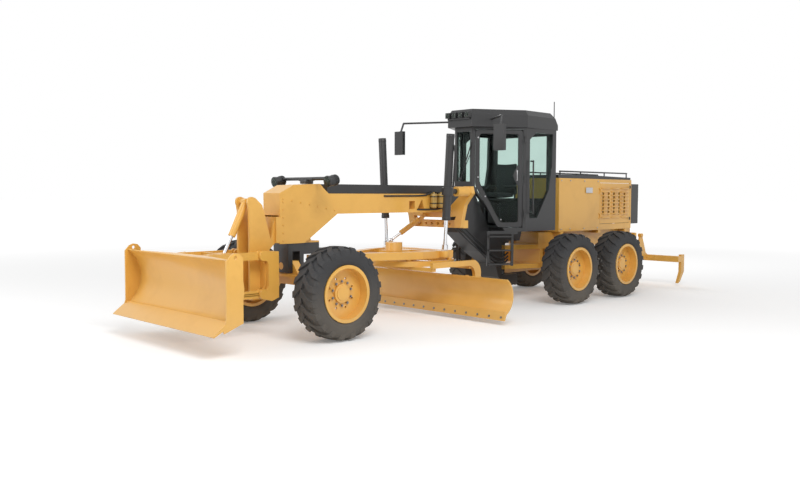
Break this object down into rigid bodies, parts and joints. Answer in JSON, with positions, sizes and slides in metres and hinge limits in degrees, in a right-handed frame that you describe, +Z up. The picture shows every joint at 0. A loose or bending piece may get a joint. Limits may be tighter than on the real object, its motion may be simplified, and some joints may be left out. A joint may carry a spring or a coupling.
{
  "type": "motor grader",
  "caption": "Yellow motor grader with black cab and hood cap, six tyres, turning circle with moldboard, front dozer blade and rear ripper.",
  "frame": {"origin": "on the ground under the middle of the machine's length and width", "axes": "+X forward, +Y to the machine's left, +Z up"},
  "size_m": [11.11, 3.658, 3.4794],
  "materials": {
    "yellow_paint": "gloss",
    "black_paint": "satin",
    "gold_paint": "satin",
    "chrome_rod": "polished",
    "engine_grey": "rough",
    "black_fabric": "matte",
    "tyre_rubber": "matte",
    "clear_glass": "clear"
  },
  "bodies": {
    "rear_frame": {"rear_frame": "yellow_paint", "tandem_cases": "yellow_paint", "engine_block": "engine_grey", "hood": "yellow_paint", "hood_cap": "black_paint", "radiator_guard": "black_paint"},
    "hood_door_left": {"hood_door_left": "yellow_paint"},
    "hood_door_right": {"hood_door_right": "yellow_paint"},
    "front_frame": {"gooseneck": "yellow_paint", "beam_cover": "black_paint", "cab_frame": "black_paint", "cab_shell": "black_paint", "cab_roof": "black_paint", "cab_glass": "clear_glass", "operator_station": "black_fabric", "roof_fittings": "black_paint", "beam_fittings": "gold_paint", "lift_saddle": "yellow_paint", "front_axle": "yellow_paint", "dozer_mount": "yellow_paint"},
    "cab_door_left": {"cab_door_left": "black_paint"},
    "cab_door_right": {"cab_door_right": "black_paint"},
    "lean_left": {"lean_bracket_left": "yellow_paint"},
    "lean_right": {"lean_bracket_right": "yellow_paint"},
    "lean_bar": {"lean_bar": "yellow_paint"},
    "knuckle_left": {"knuckle_left": "yellow_paint"},
    "knuckle_right": {"knuckle_right": "yellow_paint"},
    "drawbar_ball": {"drawbar_ball": "black_paint"},
    "drawbar": {"drawbar": "yellow_paint"},
    "circle": {"circle": "yellow_paint"},
    "blade_carrier": {"blade_carrier": "yellow_paint"},
    "moldboard": {"moldboard": "yellow_paint"},
    "lift_barrel_left": {"lift_barrel_left": "black_paint"},
    "lift_barrel_right": {"lift_barrel_right": "black_paint"},
    "lift_rod_left": {"lift_rod_left": "chrome_rod"},
    "lift_rod_right": {"lift_rod_right": "chrome_rod"},
    "centre_shift_yoke": {"centre_shift_yoke": "yellow_paint"},
    "centre_shift_barrel": {"centre_shift_barrel": "yellow_paint"},
    "centre_shift_rod": {"centre_shift_rod": "chrome_rod"},
    "ripper": {"ripper_frame": "yellow_paint"},
    "ripper_barrel": {"ripper_barrel": "yellow_paint"},
    "ripper_rod": {"ripper_rod": "chrome_rod"},
    "dozer_arms": {"dozer_arms": "yellow_paint"},
    "dozer_links": {"dozer_links": "yellow_paint"},
    "dozer_blade": {"dozer_blade": "yellow_paint"},
    "dozer_barrel": {"dozer_barrel": "yellow_paint"},
    "dozer_rod": {"dozer_rod": "chrome_rod"},
    "wheel_front_left": {"tyre_front_left": "tyre_rubber", "rim_front_left": "yellow_paint"},
    "wheel_front_right": {"tyre_front_right": "tyre_rubber", "rim_front_right": "yellow_paint"},
    "wheel_tandem_front_left": {"tyre_tandem_front_left": "tyre_rubber", "rim_tandem_front_left": "yellow_paint"},
    "wheel_tandem_front_right": {"tyre_tandem_front_right": "tyre_rubber", "rim_tandem_front_right": "yellow_paint"},
    "wheel_tandem_rear_left": {"tyre_tandem_rear_left": "tyre_rubber", "rim_tandem_rear_left": "yellow_paint"},
    "wheel_tandem_rear_right": {"tyre_tandem_rear_right": "tyre_rubber", "rim_tandem_rear_right": "yellow_paint"}
  },
  "joints": [
    {"name": "articulation", "type": "hinge", "parent": "rear_frame", "child": "front_frame", "pos_m": [-0.995, 0, 0.77], "axis": [0, 0, 1], "range_deg": [-20, 20]},
    {"name": "spin_front_left", "type": "hinge", "parent": "knuckle_left", "child": "wheel_front_left", "pos_m": [3.617, 1.053, 0.605], "axis": [0, 1, 0], "continuous": true},
    {"name": "spin_front_right", "type": "hinge", "parent": "knuckle_right", "child": "wheel_front_right", "pos_m": [3.617, -1.053, 0.605], "axis": [0, 1, 0], "continuous": true},
    {"name": "spin_tandem_front_left", "type": "hinge", "parent": "rear_frame", "child": "wheel_tandem_front_left", "pos_m": [-1.5395, 1.053, 0.605], "axis": [0, 1, 0], "continuous": true},
    {"name": "spin_tandem_front_right", "type": "hinge", "parent": "rear_frame", "child": "wheel_tandem_front_right", "pos_m": [-1.5395, -1.053, 0.605], "axis": [0, 1, 0], "continuous": true},
    {"name": "spin_tandem_rear_left", "type": "hinge", "parent": "rear_frame", "child": "wheel_tandem_rear_left", "pos_m": [-3.0505, 1.053, 0.605], "axis": [0, 1, 0], "continuous": true},
    {"name": "spin_tandem_rear_right", "type": "hinge", "parent": "rear_frame", "child": "wheel_tandem_rear_right", "pos_m": [-3.0505, -1.053, 0.605], "axis": [0, 1, 0], "continuous": true},
    {"name": "cab_door_left", "type": "hinge", "parent": "front_frame", "child": "cab_door_left", "pos_m": [-0.66132, 0.72535, 2], "axis": [0, 0, 1], "range_deg": [0, 90]},
    {"name": "cab_door_right", "type": "hinge", "parent": "front_frame", "child": "cab_door_right", "pos_m": [-0.66132, -0.72535, 2], "axis": [0, 0, -1], "range_deg": [0, 90]},
    {"name": "hood_door_left", "type": "hinge", "parent": "rear_frame", "child": "hood_door_left", "pos_m": [-3.298, 0.51, 1.7], "axis": [0, 0, -1], "range_deg": [0, 80]},
    {"name": "hood_door_right", "type": "hinge", "parent": "rear_frame", "child": "hood_door_right", "pos_m": [-3.298, -0.51, 1.7], "axis": [0, 0, 1], "range_deg": [0, 80]},
    {"name": "lean_left", "type": "hinge", "parent": "front_frame", "child": "lean_left", "pos_m": [3.617, 0.64, 0.52], "axis": [1, 0, 0], "range_deg": [-18, 18]},
    {"name": "lean_right", "type": "hinge", "parent": "front_frame", "child": "lean_right", "pos_m": [3.617, -0.64, 0.52], "axis": [1, 0, 0], "range_deg": [-18, 18]},
    {"name": "lean_bar", "type": "hinge", "parent": "lean_left", "child": "lean_bar", "pos_m": [3.736, 0.64, 0.768], "axis": [1, 0, 0], "range_deg": [-18, 18]},
    {"name": "steer_left", "type": "hinge", "parent": "lean_left", "child": "knuckle_left", "pos_m": [3.617, 0.86, 0.61], "axis": [0, 0, 1], "range_deg": [-47, 47]},
    {"name": "steer_right", "type": "hinge", "parent": "lean_right", "child": "knuckle_right", "pos_m": [3.617, -0.86, 0.61], "axis": [0, 0, 1], "range_deg": [-47, 47]},
    {"name": "drawbar_swing", "type": "hinge", "parent": "front_frame", "child": "drawbar_ball", "pos_m": [3.135, 0, 0.95], "axis": [0, 0, 1], "range_deg": [-15, 15]},
    {"name": "drawbar_lift", "type": "hinge", "parent": "drawbar_ball", "child": "drawbar", "pos_m": [3.135, 0, 0.95], "axis": [0, 1, 0], "range_deg": [-18, 10]},
    {"name": "circle_turn", "type": "hinge", "parent": "drawbar", "child": "circle", "pos_m": [1.305, 0, 0.83], "axis": [0, 0, -1], "continuous": true},
    {"name": "blade_tip", "type": "hinge", "parent": "circle", "child": "blade_carrier", "pos_m": [0.79, 0, 0.25], "axis": [0, 1, 0], "range_deg": [-5, 40]},
    {"name": "blade_shift", "type": "slide", "parent": "blade_carrier", "child": "moldboard", "axis": [0, 1, 0], "range_m": [-0.5, 0.5]},
    {"name": "lift_barrel_left", "type": "hinge", "parent": "front_frame", "child": "lift_barrel_left", "pos_m": [1.185, 0.7, 1.91], "axis": [1, 0, 0], "range_deg": [-37, 37]},
    {"name": "lift_rod_left", "type": "slide", "parent": "lift_barrel_left", "child": "lift_rod_left", "axis": [0, 0.0627, 0.998], "range_m": [-0.63, 0.35]},
    {"name": "lift_barrel_right", "type": "hinge", "parent": "front_frame", "child": "lift_barrel_right", "pos_m": [1.185, -0.7, 1.91], "axis": [1, 0, 0], "range_deg": [-37, 37]},
    {"name": "lift_rod_right", "type": "slide", "parent": "lift_barrel_right", "child": "lift_rod_right", "axis": [0, -0.0627, 0.998], "range_m": [-0.63, 0.35]},
    {"name": "centre_shift_yoke", "type": "hinge", "parent": "front_frame", "child": "centre_shift_yoke", "pos_m": [0.818, -0.195, 1.5], "axis": [0, 0, 1], "range_deg": [-48, 48]},
    {"name": "centre_shift_barrel", "type": "hinge", "parent": "centre_shift_yoke", "child": "centre_shift_barrel", "pos_m": [0.818, -0.195, 1.5], "axis": [-0.4194, -0.9078, 0], "range_deg": [-50.4, 28]},
    {"name": "centre_shift_rod", "type": "slide", "parent": "centre_shift_barrel", "child": "centre_shift_rod", "axis": [0.7473, -0.3453, -0.5678], "range_m": [-0.15, 0.15]},
    {"name": "ripper_lift", "type": "hinge", "parent": "rear_frame", "child": "ripper", "pos_m": [-4.855, 0, 0.64], "axis": [0, 1, 0], "range_deg": [-30, 30]},
    {"name": "ripper_barrel", "type": "hinge", "parent": "rear_frame", "child": "ripper_barrel", "pos_m": [-4.895, 0, 1.12], "axis": [0, 1, 0], "range_deg": [-2, 2]},
    {"name": "ripper_rod", "type": "slide", "parent": "ripper_barrel", "child": "ripper_rod", "axis": [0.3939, 0, 0.9191], "range_m": [-0.12, 0.12]},
    {"name": "dozer_lift", "type": "hinge", "parent": "front_frame", "child": "dozer_arms", "pos_m": [4.265, 0, 0.575], "axis": [0, -1, 0], "range_deg": [-25, 25]},
    {"name": "dozer_links", "type": "hinge", "parent": "front_frame", "child": "dozer_links", "pos_m": [4.265, 0, 1.07], "axis": [0, -1, 0], "range_deg": [-25, 25]},
    {"name": "dozer_blade", "type": "hinge", "parent": "dozer_arms", "child": "dozer_blade", "pos_m": [5.035, 0, 0.575], "axis": [0, -1, 0], "range_deg": [-25, 25]},
    {"name": "dozer_barrel", "type": "hinge", "parent": "front_frame", "child": "dozer_barrel", "pos_m": [4.305, 0, 1.76], "axis": [0, -1, 0], "range_deg": [-5.1, 5.1]},
    {"name": "dozer_rod", "type": "slide", "parent": "dozer_barrel", "child": "dozer_rod", "axis": [-0.4369, 0, 0.8995], "range_m": [-0.15, 0.15]}
  ],
  "couplings": [
    {"joint": "lean_right", "follows": "lean_left", "ratio": 1},
    {"joint": "lean_bar", "follows": "lean_left", "ratio": -1},
    {"joint": "steer_right", "follows": "steer_left", "ratio": 1},
    {"joint": "lift_barrel_left", "follows": "drawbar_swing", "ratio": -2.2},
    {"joint": "lift_barrel_right", "follows": "drawbar_swing", "ratio": -2.2},
    {"joint": "lift_rod_left", "follows": "drawbar_lift", "m_per_rad": 1.95},
    {"joint": "lift_rod_right", "follows": "drawbar_lift", "m_per_rad": 1.95},
    {"joint": "centre_shift_yoke", "follows": "drawbar_swing", "ratio": -3.2},
    {"joint": "centre_shift_barrel", "follows": "drawbar_lift", "ratio": 2.8},
    {"joint": "centre_shift_rod", "follows": "drawbar_swing", "m_per_rad": 0.55},
    {"joint": "ripper_barrel", "follows": "ripper_lift", "ratio": 0.04},
    {"joint": "ripper_rod", "follows": "ripper_lift", "m_per_rad": 0.217},
    {"joint": "dozer_links", "follows": "dozer_lift", "ratio": 1},
    {"joint": "dozer_blade", "follows": "dozer_lift", "ratio": -1},
    {"joint": "dozer_barrel", "follows": "dozer_lift", "ratio": 0.2},
    {"joint": "dozer_rod", "follows": "dozer_lift", "m_per_rad": 0.336}
  ]
}
